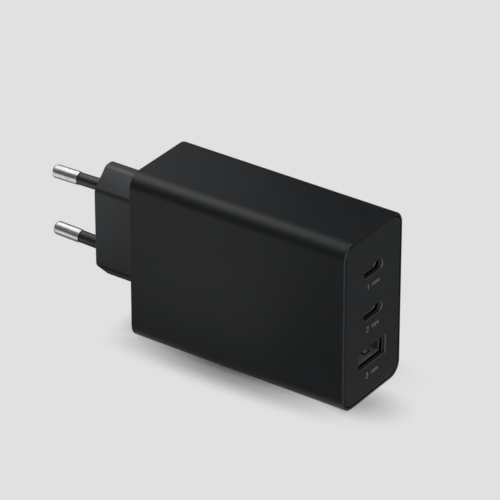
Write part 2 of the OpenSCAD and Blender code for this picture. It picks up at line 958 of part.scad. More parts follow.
// Standing cans of the low-voltage side, each on a base with two cut corners
module output_capacitors() {
    base_h = 0.8;
    waist = 0.6;
    color("#b7bcc4")
        for (z = output_z)
            on_board(front_x, z) {
                difference() {
                    box(output_d, output_d, base_h);
                    for (side = [-1, 1])
                        translate([side * output_d / 2, output_d / 2, -cut])
                            rotate(45)
                                box(1, 1, base_h + 2 * cut);
                }
                rotate_extrude() {
                    square([output_d / 2 - 0.4, base_h + waist]);
                    translate([0, base_h + waist - cut])
                        square([output_d / 2 - 0.1, output_h - base_h - waist - 0.4]);
                    square([output_d / 2 - 0.5, output_h]);
                }
            }
}

module output_inductors() {
    color("#57595c")
        for (z = inductor_z)
            on_board(front_x, z)
                intersection() {
                    rotate(45)
                        box(1.3 * inductor_w, 1.3 * inductor_w, inductor_h);
                    box(inductor_w, inductor_w, inductor_h);
                }
}

// Box with a recess under its potted side
module input_capacitor() {
    rim = 0.8;
    color("#c8b23c")
        on_board(input_x + input_inset + input_w / 2, input_z)
            difference() {
                box(input_w, input_l, input_h);
                translate([0, 0, -cut])
                    box(input_w - 2 * rim, input_l - 2 * rim, rim + cut);
            }
}

// Coated disc that stands on two leads
module upright_disc(d, t) {
    lift = 0.8;
    translate([0, 0, lift + d / 2])
        rotate([0, 90, 0])
            cylinder(d = d, h = t, center = true);
    for (side = [-1, 1])
        translate([0, side * 0.31 * d, 0])
            cylinder(d = lead_d, h = lift + 0.4 * d);
}

module safety_capacitor() {
    color("#2f6ea5")
        on_board(input_x + input_inset + input_w + disc_gap + safety_t / 2, input_z)
            upright_disc(safety_d, safety_t);
}

module varistor() {
    color("#2b57a8")
        on_board(input_x + input_inset + fuse_d + disc_gap + varistor_t / 2, fuse_z)
            upright_disc(varistor_d, varistor_t);
}

module choke_core() {
    color("#3f5a45")
        on_board(choke_x, choke_z)
            translate([0, 0, choke_turn_r + choke_wire_r + slide_fit])
                rotate_extrude()
                    translate([choke_r, 0])
                        circle(choke_body_r);
}

// Two groups of turns round the ring, each with a lead at both ends
module choke_winding() {
    turns = 5;
    step = 25;
    ring_z = choke_turn_r + choke_wire_r + slide_fit;
    color("#c06a32")
        on_board(choke_x, choke_z)
            for (group = [0, 180], i = [0 : turns - 1])
                rotate(group + (i - (turns - 1) / 2) * step)
                    translate([choke_r, 0, ring_z])
                        rotate([90, 0, 0]) {
                            rotate_extrude()
                                translate([choke_turn_r, 0])
                                    circle(choke_wire_r);
                            if (i == 0 || i == turns - 1)
                                translate([choke_turn_r, 0, 0])
                                    rotate([90, 0, 0])
                                        cylinder(r = choke_wire_r, h = ring_z);
                        }
}

// Ceramic tube with a cap and a lead at each end
module fuse() {
    cap_l = 2.2;
    color("#d9d4c6")
        on_board(input_x + input_inset + fuse_d / 2, fuse_z)
            translate([0, 0, fuse_d / 2 + slide_fit])
                rotate([90, 0, 0])
                    for (side = [0, 1])
                        mirror([0, 0, side]) {
                            cylinder(d = fuse_d - 0.6, h = fuse_l / 2 - cap_l + cut);
                            translate([0, 0, fuse_l / 2 - cap_l])
                                cylinder(d = fuse_d, h = cap_l);
                            translate([-lead_d / 2, -fuse_d / 2 - slide_fit, fuse_l / 2 - cap_l / 2])
                                cube([lead_d, fuse_d / 2, lead_d]);
                        }
}

module back_chips() {
    color("#1b1b1d") {
        on_back(choke_x, choke_z)
            box(1.6 * chip_w, 1.3 * chip_w, chip_t);
        on_back(middle_x + chip_w, core_z)
            box(1.6 * chip_w, 1.6 * chip_w, chip_t);
        on_back(middle_x + 3.5 * chip_w, storage_z[0])
            box(chip_w, 1.2 * chip_w, chip_t);
        on_back(front_x - chip_w, core_z)
            box(chip_w, 1.2 * chip_w, chip_t);
    }
}

// Folded sheet against the near wall
module heat_spreader() {
    low = wall_t + inner_r + 0.2;
    l = board_l - 1;
    h = body_h - 2 * low;
    color("#c3c6ca")
        translate([board_x0, -y_in + slide_fit, low]) {
            cube([l, spreader_t, h]);
            for (z = [0, h - spreader_t])
                translate([0, 0, z])
                    cube([l, spreader_t + spreader_fold, spreader_t]);
        }
}

module spreader_sheet() {
    low = wall_t + inner_r + 0.2 + spreader_t + slide_fit;
    color("#d8d8c8")
        translate([board_x0, -y_in + slide_fit + spreader_t, low])
            cube([board_l - 1, sheet_t, body_h - 2 * low]);
}

module back_sheet() {
    low = wall_t + inner_r + 0.2;
    color("#d8d8c8")
        translate([board_x0, y_in - slide_fit - sheet_t, low])
            cube([board_l - 1, sheet_t, body_h - 2 * low]);
}

housing();
front_panel();
plug_block();
pin(1);  // pin_upper
pin(-1);  // pin_lower
pin_sleeve(1);  // pin_sleeve_upper
pin_sleeve(-1);  // pin_sleeve_lower
contact(1);  // contact_upper
contact(-1);  // contact_lower
contact_carrier();
port_board();
main_board();
header_strip();
header_pins();
port_chips();
oval_shell(z_ports[0]);  // oval_shell_1
oval_insulator(z_ports[0]);  // oval_insulator_1
oval_contacts(z_ports[0]);  // oval_contacts_1
oval_shell(z_ports[1]);  // oval_shell_2
oval_insulator(z_ports[1]);  // oval_insulator_2
oval_contacts(z_ports[1]);  // oval_contacts_2
rect_shell();
rect_insulator();
rect_contacts();
core_inner();
core_outer();
bobbin();
winding();
core_tape();
thermal_pad();
storage_capacitor(0);  // storage_capacitor_1
storage_capacitor(1);  // storage_capacitor_2
output_capacitors();
output_inductors();
input_capacitor();
safety_capacitor();
choke_core();
choke_winding();
fuse();
varistor();
back_chips();
heat_spreader();
spreader_sheet();
back_sheet();
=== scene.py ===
# %% [markdown]
# # Dressing a multi port USB charger
# The charger comes from its construction model, already in metres and in the right place.
# This notebook gives every piece its finish, adds the printed port marks, and sets the light and
# the camera. Nothing that comes from the model is moved, so a finish is all that most pieces need.

# %% The model
import math

import bpy
from mathutils import Matrix, Vector


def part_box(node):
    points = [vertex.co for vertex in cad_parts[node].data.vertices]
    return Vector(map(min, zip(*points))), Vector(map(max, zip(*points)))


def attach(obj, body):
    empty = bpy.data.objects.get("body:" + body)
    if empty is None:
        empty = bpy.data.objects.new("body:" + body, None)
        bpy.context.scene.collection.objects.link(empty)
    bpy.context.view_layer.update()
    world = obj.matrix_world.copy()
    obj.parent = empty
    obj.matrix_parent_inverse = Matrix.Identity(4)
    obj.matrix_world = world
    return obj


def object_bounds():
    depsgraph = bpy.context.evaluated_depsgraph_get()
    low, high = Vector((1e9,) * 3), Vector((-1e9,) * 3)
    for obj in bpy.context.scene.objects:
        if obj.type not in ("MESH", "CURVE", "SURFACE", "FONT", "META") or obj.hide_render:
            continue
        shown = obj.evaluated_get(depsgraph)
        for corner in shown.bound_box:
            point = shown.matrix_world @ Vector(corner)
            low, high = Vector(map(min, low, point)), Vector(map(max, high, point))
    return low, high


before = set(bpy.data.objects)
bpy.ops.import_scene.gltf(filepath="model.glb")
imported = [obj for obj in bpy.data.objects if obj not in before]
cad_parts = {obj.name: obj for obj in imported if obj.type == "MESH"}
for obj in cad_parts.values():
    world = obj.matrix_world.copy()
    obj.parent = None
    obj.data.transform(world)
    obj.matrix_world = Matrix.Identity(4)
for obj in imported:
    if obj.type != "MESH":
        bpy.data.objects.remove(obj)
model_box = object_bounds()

MM = 0.001
print("pieces from the model:", len(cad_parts))

# %% [markdown]
# ## The camera
# A product photographer uses a long lens from some way off, so that the edges stay nearly
# parallel. We could aim the camera with a constraint, but three axes from two angles are exact
# and leave nothing to evaluate. `right`, `up` and `back` are the camera's own axes, and they are
# the columns of its rotation.

# %% Place the camera
AZIMUTH, ELEVATION = 34.968, 29.72
LENS, SENSOR, DISTANCE = 281.967, 36.0, 1.0658
NEAREST, FARTHEST = 0.05, 20.0
AIM = Vector((17.9, 0.0, 25.0)) * MM
AIM_RIGHT, AIM_UP = -3.771 * MM, 7.246 * MM


def camera_axes(azimuth, elevation):
    """The right, up and back directions of a level camera."""
    a, e = math.radians(azimuth), math.radians(elevation)
    back = Vector((math.sin(a) * math.cos(e), -math.cos(a) * math.cos(e), math.sin(e)))
    right = Vector((math.cos(a), math.sin(a), 0.0))
    return right, back.cross(right), back


right, up, back = camera_axes(AZIMUTH, ELEVATION)
camera_data = bpy.data.cameras.new("studio_camera")
camera_data.lens, camera_data.sensor_width = LENS, SENSOR
camera_data.clip_start, camera_data.clip_end = NEAREST, FARTHEST
camera = bpy.data.objects.new("studio_camera", camera_data)
bpy.context.scene.collection.objects.link(camera)
turn = Matrix((right, up, back)).transposed()
place = AIM + right * AIM_RIGHT + up * AIM_UP + back * DISTANCE
camera.matrix_world = Matrix.Translation(place) @ turn.to_4x4()
bpy.context.scene.camera = camera
bpy.context.scene.view_settings.view_transform = "Standard"
print("camera stands", round(place.length, 3), "m away")

# %% [markdown]
# ## Sums of sockets
# A shader is a sum of small parts: grain, wear, haze. Written as nodes alone, a sum is hard to
# read. This class wraps one output, so that `grain * 0.3 + wear` adds the Math nodes for us.
# The reflected forms let the number come first, as in `1 - wear`.

# %% A socket that takes part in sums


class Signal:
    """One output of a node, with the operators that these finishes use."""

    def __init__(self, finish, socket):
        self.finish, self.socket = finish, socket

    def __add__(self, other):
        return self.finish.sum_node("ADD", self, other)

    def __sub__(self, other):
        return self.finish.sum_node("SUBTRACT", self, other)

    def __rsub__(self, other):
        return self.finish.sum_node("SUBTRACT", other, self)

    def __mul__(self, other):
        return self.finish.sum_node("MULTIPLY", self, other)

    __radd__ = __add__
    __rmul__ = __mul__


# %% [markdown]
# ## One way to make any node
# Every other node comes from one method: its type, its settings, then what goes into its sockets.
# Settings come first, because on some nodes they decide which sockets there are.
# The smaller helpers below are only names for the nodes that come back again and again.
# The one for edges compares the surface with a softened one: where they part, there is an edge.

# %% A finish and its nodes
EDGE_GAIN, EDGE_SAMPLES = 6.0, 6


class Finish:
    """A material or a world under construction."""

    def __init__(self, name, kind=bpy.data.materials, coordinates="Object"):
        self.material = kind.new(name)
        self.material.use_nodes = True
        self.tree = self.material.node_tree
        self.tree.nodes.clear()
        self.place = self.node("ShaderNodeTexCoord", {}, {}, coordinates)

    def feed(self, socket, value):
        """Links a signal to a socket, or sets the socket to a plain value."""
        if isinstance(value, Signal):
            self.tree.links.new(value.socket, socket)
        else:
            socket.default_value = value

    def node(self, kind, settings, sockets, output=0):
        """Makes a node, sets it, feeds it, and gives back one of its outputs."""
        made = self.tree.nodes.new(kind)
        for name, value in settings.items():
            setattr(made, name, value)
        for name, value in sockets.items():
            self.feed(made.inputs[name], value)
        return Signal(self, made.outputs[output])

    def sum_node(self, operation, *terms):
        """One Math node, fed with signals or numbers."""
        return self.node("ShaderNodeMath", {"operation": operation}, dict(enumerate(terms)))

    def noise(self, size, detail=2.0, place=None):
        """Cloudy noise with features of about the given size in metres."""
        sockets = {"Vector": place or self.place, "Scale": 1.0 / size, "Detail": detail}
        return self.node("ShaderNodeTexNoise", {}, sockets, "Fac")

    def stretched(self, x, y, z):
        """The place, scaled along each axis, for lines and brushing."""
        sockets = {0: self.place, 1: (x, y, z)}
        return self.node("ShaderNodeVectorMath", {"operation": "MULTIPLY"}, sockets)

    def along(self, axis):
        """The distance along X, Y or Z in metres."""
        return self.node("ShaderNodeSeparateXYZ", {}, {"Vector": self.place}, axis)

    def step(self, value, low, high):
        """Goes smoothly from 0 at low to 1 at high."""
        settings = {"interpolation_type": "SMOOTHSTEP"}
        sockets = {"Value": value, "From Min": low, "From Max": high}
        return self.node("ShaderNodeMapRange", settings, sockets, "Result")

    def blend(self, amount, first, second):
        """Goes from the first colour to the second."""
        settings = {"data_type": "RGBA"}
        sockets = {"Factor": amount, 6: first, 7: second}
        return self.node("ShaderNodeMix", settings, sockets, 2)

    def bump(self, height, depth):
        """The surface, raised and sunk by a height of the given depth in metres."""
        sockets = {"Height": height, "Distance": depth, "Strength": 1.0}
        return self.node("ShaderNodeBump", {}, sockets, "Normal")

    def edges(self, radius):
        """Near 1 on outer and inner edges, 0 on the flat."""
        soft = self.node("ShaderNodeBevel", {"samples": EDGE_SAMPLES}, {"Radius": radius}, "Normal")
        flat = self.node("ShaderNodeNewGeometry", {}, {}, "Normal")
        dot = {"operation": "DOT_PRODUCT"}
        same = self.node("ShaderNodeVectorMath", dot, {0: soft, 1: flat}, "Value")
        return self.step((1 - same) * EDGE_GAIN, 0.0, 1.0)

    def surface(self, **sockets):
        """Closes the finish with its Principled shader."""
        named = {name.replace("_", " "): value for name, value in sockets.items()}
        shader = self.node("ShaderNodeBsdfPrincipled", {}, named, "BSDF")
        self.node_out(shader)
        return self.material

    def node_out(self, shader, kind="ShaderNodeOutputMaterial"):
        """Leads a shader to the output."""
        out = self.tree.nodes.new(kind)
        self.tree.links.new(shader.socket, out.inputs["Surface"])


def grey(level, warmth=0.0):
    """A linear grey, a little warmer or cooler than neutral."""
    return (level * (1 + warmth), level, level * (1 - warmth), 1.0)


print("helpers ready")

# %% [markdown]
# ## The floor and the pale background
# The photograph has one even pale grey everywhere, with a soft shadow close under the charger.
# A floor alone would grow lighter or darker towards the edges, and a flat background alone would
# lose the shadow. So the floor is a real diffuse surface that takes the shadow, and it fades to
# clear a short way from the housing.

# %% Lay the floor
FLOOR_SIZE = 0.3
FLOOR_DROP = 0.02 * MM
FLOOR_COLOUR = 0.66

bpy.ops.mesh.primitive_circle_add(vertices=96, radius=FLOOR_SIZE, fill_type="NGON")
floor = bpy.context.object
floor.name = "studio_floor"
floor.location.z = -FLOOR_DROP
print("floor radius", FLOOR_SIZE, "m")

# %% [markdown]
# ## Where the shadow stays
# Two soft ovals say where the floor shows: a long one under both long sides, and a short one
# before the ports. Each is strongest under the housing and fades to nothing at its reach. The
# floor ends under the plug block, which hangs too high to shade it.

# %% Fade the floor
SIDE_MIDDLE, SIDE_REACH, SIDE_STRENGTH = 13 * MM, (53 * MM, 10.5 * MM), 0.94
FRONT_MIDDLE, FRONT_REACH, FRONT_STRENGTH = -5 * MM, (18 * MM, 13.5 * MM), 0.75
BLOCK_FADE = (-28 * MM, -16 * MM)

foot_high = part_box("housing")[1]
paper = Finish("floor_paper")


def vector_node(operation, first, second=None, output=0):
    """One Vector Math node in the floor's finish."""
    sockets = {0: first} if second is None else {0: first, 1: second}
    return paper.node("ShaderNodeVectorMath", {"operation": operation}, sockets, output)


def oval(offset, reach):
    """1 at the middle of an oval, 0 from its rim outwards."""
    scaled = vector_node("MULTIPLY", offset, (1 / reach[0], 1 / reach[1], 0.0))
    return 1 - paper.step(vector_node("LENGTH", scaled, None, "Value"), 0.0, 1.0)


from_middle = vector_node("ABSOLUTE", vector_node("SUBTRACT", paper.place, (SIDE_MIDDLE, 0.0, 0.0)))
past_side = vector_node("SUBTRACT", from_middle, (0.0, foot_high.y, 0.0))
beside = oval(vector_node("MAXIMUM", past_side, (0.0, 0.0, 0.0)), SIDE_REACH)
from_front = vector_node("SUBTRACT", paper.place, (foot_high.x, FRONT_MIDDLE, 0.0))
before = oval(vector_node("MAXIMUM", from_front, (0.0, -1.0, 0.0)), FRONT_REACH)
past_block = paper.step(paper.along("X"), *BLOCK_FADE)
kept = paper.sum_node("MAXIMUM", beside * SIDE_STRENGTH, before * FRONT_STRENGTH) * past_block
lit = paper.node("ShaderNodeBsdfDiffuse", {}, {"Color": grey(FLOOR_COLOUR)}, "BSDF")
clear = paper.node("ShaderNodeBsdfTransparent", {}, {}, "BSDF")
paper.node_out(paper.node("ShaderNodeMixShader", {}, {0: kept, 1: clear, 2: lit}, "Shader"))
floor.data.materials.append(paper.material)
print("shadow reaches", SIDE_REACH[1] / MM, "mm beside and", FRONT_REACH[0] / MM, "mm before")

# %% [markdown]
# ## The world
# The world gives a little even light from all sides, so that no shadow goes black. The camera
# shouldn't see that dim grey, but the photograph's pale one, and so should metal and glass.
# The Light Path node tells these rays from the rest.

# %% The world
AMBIENT = 0.30
BACKDROP = 0.752

world = Finish("studio_world", bpy.data.worlds, "Generated")
bpy.context.scene.world = world.material
RAYS = ("Camera", "Glossy", "Transmission")
to_camera, in_gloss, through_glass = (
    world.node("ShaderNodeLightPath", {}, {}, f"Is {kind} Ray") for kind in RAYS
)
either = world.sum_node("MAXIMUM", to_camera, in_gloss)
sees_backdrop = world.sum_node("MAXIMUM", either, through_glass)


def background(colour, strength):
    """A Background shader for the world."""
    sockets = {"Color": colour, "Strength": strength}
    return world.node("ShaderNodeBackground", {}, sockets, "Background")


looks = {0: sees_backdrop, 1: background(grey(1.0), AMBIENT), 2: background(grey(BACKDROP), 1.0)}
mixed = world.node("ShaderNodeMixShader", {}, looks, "Shader")
world.node_out(mixed, "ShaderNodeOutputWorld")
print("world level", AMBIENT, "and backdrop", BACKDROP)

# %% [markdown]
# ## The lamps
# The black housing is drawn almost only by what it reflects: a pale line along the top edge, a
# soft fall of light along the near side, and bright sloping faces on the plug block.
# That calls for big softboxes. One stands at the left, above the plug, and one hangs high behind.
# A third stands low before the ports, where it reaches into their mouths and draws the bevels
# round them.

# %% Hang the softboxes
# All lamps face the middle of the charger.
MIDDLE = Vector((0.018, 0.0, 0.03))
# Place from the middle in metres, width and height in metres, and power in watts.
SOFTBOXES = {
    "key_softbox": ((-0.185, -0.023, 0.21), (0.20, 0.20), 0.312),
    "back_softbox": ((0.06, 0.36, 0.95), (0.30, 0.30), 3.4),
    "port_softbox": ((0.51, -0.30, 0.072), (0.30, 0.30), 1.04),
}


def softbox(name, offset, size, power):
    """A rectangular lamp that faces the middle of the charger."""
    lamp = bpy.data.lights.new(name, "AREA")
    lamp.shape, lamp.energy = "RECTANGLE", power
    lamp.size, lamp.size_y = size
    held = bpy.data.objects.new(name, lamp)
    bpy.context.scene.collection.objects.link(held)
    held.location = MIDDLE + Vector(offset)
    held.rotation_mode = "QUATERNION"
    held.rotation_quaternion = (MIDDLE - held.location).to_track_quat("-Z", "Y")


for name, (offset, size, power) in SOFTBOXES.items():
    softbox(name, offset, size, power)
print("lamps:", list(SOFTBOXES))

# %% [markdown]
# ## What the charger mirrors
# A black housing and bright pins show little but what they mirror, so the set round them matters.
# In the photograph the pale table in front shows in the near side, and a dark room shows in the
# edges and the pins. The room is a dome that is clear below the table, dark round the sides and
# dim above. Only reflections see it.

# %% Raise the dome
DOME_RADIUS = 1.7
ROOM, CEILING = 0.08, 0.42
TABLE_EDGE = (-0.26 * DOME_RADIUS, 0.05 * DOME_RADIUS)
CEILING_EDGE = (0.37 * DOME_RADIUS, 0.70 * DOME_RADIUS)
CEILING_TILT = 0.07


def mirrored_only(sheet):
    """Leaves a stage object to the reflections: it casts no light, no shadow and no outline."""
    sheet.visible_camera = sheet.visible_diffuse = False
    sheet.visible_shadow = sheet.visible_transmission = False


bpy.ops.mesh.primitive_uv_sphere_add(segments=48, ring_count=24, radius=DOME_RADIUS)
dome = bpy.context.object
dome.name = "studio_dome"
mirrored_only(dome)
cloudy = Finish("dome_grey")
height = cloudy.along("Z")
raised = cloudy.step(height + cloudy.along("Y") * CEILING_TILT, *CEILING_EDGE)
tone = cloudy.blend(raised, grey(ROOM), grey(CEILING))
glow = cloudy.node("ShaderNodeEmission", {}, {"Color": tone, "Strength": 1.0}, "Emission")
open_below = cloudy.node("ShaderNodeBsdfTransparent", {}, {}, "BSDF")
walls = {0: cloudy.step(height, *TABLE_EDGE), 1: open_below, 2: glow}
cloudy.node_out(cloudy.node("ShaderNodeMixShader", {}, walls, "Shader"))
dome.data.materials.append(cloudy.material)
print("dome levels", ROOM, CEILING)

# %% [markdown]
# ## Dark cloths
# Every face of the housing also grows darker to the right, because the table and the wall are
# dark there. Flat cloths do this, again for the reflections alone: seven lie on the table, and
# one hangs behind. The grain of the plastic blurs their edges to long soft slopes. Three of those
# on the table are small and lie over the others, where the plug block mirrors them.

# %% Lay and hang the cloths
LOW, OVER = -0.05, -0.04
# Corners along X and Y in millimetres, height in millimetres, and grey level.
TABLE_CLOTHS = {
    "front_cloth": ([(26, -17), (400, -17), (400, -260), (-110, -260)], LOW, 0.26),
    # The near, plug and under cloths are painted shade: in reflections they stand for the charger's
    # shadow on the table.
    "near_cloth": ([(-56, -15), (26, -15), (26, -34), (-56, -34)], LOW, 0.40),
    "back_cloth": ([(54, -17), (400, -17), (400, 400), (54, 400)], LOW, 0.27),
    "plug_cloth": ([(-130, -15), (-18, -15), (-18, 16), (-130, 16)], LOW, 0.17),
    "under_cloth": ([(-44, -15), (-18, -15), (-18, 1), (-44, 1)], OVER, 0.02),
    "low_cloth": ([(-53, -15), (-38, -15), (-38, -34), (-53, -34)], OVER, 0.20),
    "block_cloth": ([(-66, -34), (-38, -34), (-38, -54), (-66, -54)], OVER, 0.45),
}
WALL_CLOTH = [(-32, 80, 75), (400, 80, 75), (400, 80, 300), (-32, 80, 300)]


def cloth(name, corners, level, shade=None):
    """A flat sheet that only reflections see, in one grey or in the shade of a function."""
    mesh = bpy.data.meshes.new(name)
    mesh.from_pydata([[value * MM for value in corner] for corner in corners], [], [(0, 1, 2, 3)])
    sheet = bpy.data.objects.new(name, mesh)
    bpy.context.scene.collection.objects.link(sheet)
    mirrored_only(sheet)
    felt = Finish(name)
    colour = shade(felt, level) if shade else grey(level)
    sockets = {"Color": colour, "Strength": 1.0}
    felt.node_out(felt.node("ShaderNodeEmission", {}, sockets, "Emission"))
    mesh.materials.append(felt.material)


for name, (corners, rise, level) in TABLE_CLOTHS.items():
    cloth(name, [(x, y, rise) for x, y in corners], level)
cloth("wall_cloth", WALL_CLOTH, 0.0)
print("cloths:", len(TABLE_CLOTHS) + 1)

# %% [markdown]
# ## A card for the pins
# The pins mirror the left lamp, and a bare lamp is too bright and too hard for them. A card with
# a soft gradient stands between the lamp and its mirror image, and gives them a smooth streak.

# %% Hang the card
CARD = [(-135, -75, 86), (-67, -75, 86), (-67, 135, 86), (-135, 135, 86)]
CARD_LEVEL, CARD_DARK = 1.12, 0.08
CARD_NEAR_FADE, CARD_FAR_FADE = (-42 * MM, 6 * MM), (30 * MM, 130 * MM)


def soft_both_ways(felt, level):
    """Bright over the pins, and dark towards both sides."""
    y = felt.along("Y")
    bright = felt.step(y, *CARD_NEAR_FADE) * (1 - felt.step(y, *CARD_FAR_FADE))
    return felt.blend(bright, grey(CARD_DARK), grey(level))


cloth("pin_card", CARD, CARD_LEVEL, soft_both_ways)
print("card level", CARD_LEVEL)

# %% [markdown]
# ## Which way a face looks
# Painted light and shade follow direction: a bevel that faces the front and the near side gets a
# painted highlight, and the one behind it doesn't. The true normal says how far a face looks
# towards the near side, the front or the top.
# A product of two such steps picks the bevels that lie between two sides.

# %% Faces and bevels


def toward(f, side, low, high):
    """Goes from 0 to 1 as a face turns towards the near side, the front or the top."""
    normal = f.node("ShaderNodeNewGeometry", {}, {}, "True Normal")
    axis = {"near": "Y", "front": "X", "top": "Z"}[side]
    look = f.node("ShaderNodeSeparateXYZ", {}, {"Vector": normal}, axis)
    return f.step(0 - look if side == "near" else look, low, high)


def between_front_and_near(f):
    """1 on bevels and roundings that face both the front and the near side."""
    return toward(f, "near", 0.1, 0.7) * toward(f, "front", 0.15, 0.5)


def between_front_and_top(f):
    """1 on bevels that face both the front and upwards."""
    return toward(f, "top", 0.3, 0.6) * toward(f, "front", 0.3, 0.6)


print("bevels can be told apart")

# %% [markdown]
# ## Scuffed port openings
# The openings of the ports carry painted light and shade on the black plastic. A painted highlight
# is strongest on the bevel that faces the front and the near side, and a fainter one lies on the
# lower bevel. The walls behind them are painted lighter, as if lit. The gap between wall and metal
# shell and the panel's edge at the seam are painted black as shade. All of it goes by the depth
# behind the face of the panel.

# %% Painted light of the openings
# Depths behind the panel's face in millimetres, the deeper one first. All that is sunk lies behind
# the flat face, and the edge is the seam round the panel.
SUNK, WALL, GAP = (0.05, 0.0), (1.05, 0.45), (1.25, 1.10)
RIM, BEVEL, EDGE = (0.36, 0.28), (0.36, 0.08), (0.30, 0.12)
# Distances to either side of the middle, between which the painted light and shade of the ports
# end.
PORTS_END = (8.5 * MM, 9.5 * MM)
# Painted greys of the lit walls, from the deep end of a wall to its mouth, and of the bevel's
# painted highlight, from its faintest patches to its brightest.
LIT_LOWER_WALL_GREYS = grey(0.072, -0.04), grey(0.017, -0.04)
LIT_SIDE_WALL_GREYS = grey(0.095, -0.04), grey(0.034, -0.04)
BEVEL_HIGHLIGHT_GREYS = grey(0.10, -0.05), grey(0.16, -0.05)
# The rim's grey is a painted highlight on the lower bevel. The gap's and the seam's greys are
# painted shade.
RIM_HIGHLIGHT_GREY, GAP_SHADE_GREY, SEAM_SHADE_GREY = grey(0.055, -0.03), grey(0.001), grey(0.002)


def shallower(f, depths):
    """Goes from 0 at the deeper place to 1 at the shallower one."""
    face = model_box[1].x
    return f.step(f.along("X"), face - depths[0] * MM, face - depths[1] * MM)


def painted_mouth_light(f, colour, patch):
    """The colour, with painted light on the walls and bevels of the openings, and painted shade in
    the gaps and at the panel's seam.
    """
    near_ports = 1 - f.step(f.sum_node("ABSOLUTE", f.along("Y")), *PORTS_END)
    outward = shallower(f, WALL)
    floor, side = f.blend(outward, *LIT_LOWER_WALL_GREYS), f.blend(outward, *LIT_SIDE_WALL_GREYS)
    wall = f.blend(toward(f, "near", 0.5, 0.9), floor, side)
    gap = f.blend(shallower(f, GAP), GAP_SHADE_GREY, wall)
    lower = f.blend(shallower(f, RIM) * between_front_and_top(f), gap, RIM_HIGHLIGHT_GREY)
    bevel = f.blend(patch, *BEVEL_HIGHLIGHT_GREYS)
    outer = f.blend(shallower(f, BEVEL) * between_front_and_near(f), lower, bevel)
    edge = f.blend(shallower(f, EDGE), SEAM_SHADE_GREY, colour)
    return f.blend(1 - shallower(f, SUNK), colour, f.blend(near_ports, edge, outer))


# The printed depth is how far the painted light on the walls of the openings reaches.
print("walls of the openings wear", WALL[0], "mm deep")

# %% [markdown]
# ## The slope of the plug block
# The sloping near face of the block is dark at its foot and light at its head. The real face
# seems slightly rounded, so that it mirrors more of the light towards its head. The model's face
# is flat, so its colour carries the change.

# %% Shade of the slope
# The slope's head lies a little below the top of the block.
SLOPE_HEAD, SLOPE_HEIGHT = 1.0 * MM, 5.6 * MM
# Shares of the slope's height below its head.
FOOT_SPAN, HEAD_SPAN = (1.1, 0.4), (0.5, 0.0)
FOOT_GREY, FOOT_STRENGTH, HEAD_GREY = grey(0.002), 0.85, grey(0.034, -0.10)


def shaded_slope(f, colour):
    """The colour, darker at the foot of the block's sloping near face and lighter at its head."""
    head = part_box("plug_block")[1].z - SLOPE_HEAD
    sloping = toward(f, "near", 0.4, 0.6) * toward(f, "top", 0.4, 0.6)

    def rising(span):
        """Goes from 0 to 1 between two places on the slope."""
        return f.step(f.along("Z"), *(head - share * SLOPE_HEIGHT for share in span))

    foot, top = sloping * (1 - rising(FOOT_SPAN)), sloping * rising(HEAD_SPAN)
    return f.blend(foot * FOOT_STRENGTH, f.blend(top, colour, HEAD_GREY), FOOT_GREY)


print("slope of the block:", SLOPE_HEIGHT / MM, "mm high")

# %% [markdown]
# ## Moulded black plastic
# The housing is a polycarbonate blend from a spark-eroded mould: very fine grain, no gloss,
# slightly cool black. A single roughness would look like paint, so three sizes of noise work
# together. The smallest is the grain and goes to the bump, the middle one varies the roughness, and
# the largest is the faint cloudiness of the moulding. Edges get a touch smoother, where hands and
# cloth have polished the grain away. They also get a touch lighter, which is partly that wear and
# partly a painted highlight. Bevels that face the front and the near side carry a stronger painted
# highlight.

# %% The black plastics
HOUSING_GRAIN, COARSE_GRAIN = 0.16, 1.9
CLOUD_SIZE, PATCH_SIZE, SHEEN_AND_WEAR_EDGE = 9 * MM, 2.4 * MM, 0.35 * MM


def painted_bevel_highlights(f, colour, patch, level):
    """The colour, with a painted highlight on bevels and roundings that face the front and the near
    side.
    """
    painted_light = f.blend(patch, grey(level * 4, -0.08), grey(level * 6, -0.08))
    return f.blend(between_front_and_near(f), colour, painted_light)


def moulded_black(name, level, rough, grain=HOUSING_GRAIN, grain_depth=0.006, specular=0.28,
                  tint=-0.17, mouths=False, slope=False):
    """Black plastic of a grey level and roughness, with its grain and the grain's depth in mm."""
    f = Finish(name)
    fine = f.noise(grain * MM, 3.0)
    coarse = f.noise(COARSE_GRAIN * grain * MM, 1.0)
    cloud, patch = f.noise(CLOUD_SIZE, 3.0), f.noise(PATCH_SIZE, 2.0)
    edge_wear_and_sheen = f.edges(SHEEN_AND_WEAR_EDGE)
    shade = f.blend(cloud, grey(level * 0.88, tint), grey(level * 1.14, tint * 1.1))
    speck = f.blend(f.step(fine, 0.52, 0.75) * 0.35, shade, grey(level * 1.7, tint * 0.7))
    # Lighter edges: partly polished wear, partly a painted highlight on the roundings.
    colour = f.blend(edge_wear_and_sheen * 0.5, speck, grey(level * 3.0, -0.10))
    if mouths:
        colour = painted_mouth_light(f, colour, patch)
    else:
        colour = painted_bevel_highlights(f, colour, patch, level)
    if slope:
        colour = shaded_slope(f, colour)
    roughness = rough + (patch - 0.5) * 0.10 + (fine - 0.5) * 0.08 - edge_wear_and_sheen * 0.06
    normal = f.bump(fine * 0.7 + coarse * 0.3, grain_depth * MM)
    return f.surface(
        Base_Color=colour, Roughness=roughness, Normal=normal, Specular_IOR_Level=specular
    )


housing_black = moulded_black("housing_black", 0.0090, 0.42)
panel_black = moulded_black("panel_black", 0.0105, 0.42, 0.13, mouths=True)
block_black = moulded_black("block_black", 0.018, 0.42, specular=0.5, tint=-0.15, slope=True)
insulator_black = moulded_black("insulator_black", 0.012, 0.38, 0.08, 0.002)
strip_black = moulded_black("strip_black", 0.012, 0.45, 0.10, 0.004)
print("grain of the housing:", HOUSING_GRAIN, "mm")

# %% [markdown]
# ## The pin sleeves
# The sleeve on each pin is a softer plastic, moulded on and left satin, so it shows a smooth
# streak of light. It carries faint rings where it was drawn off the mould.

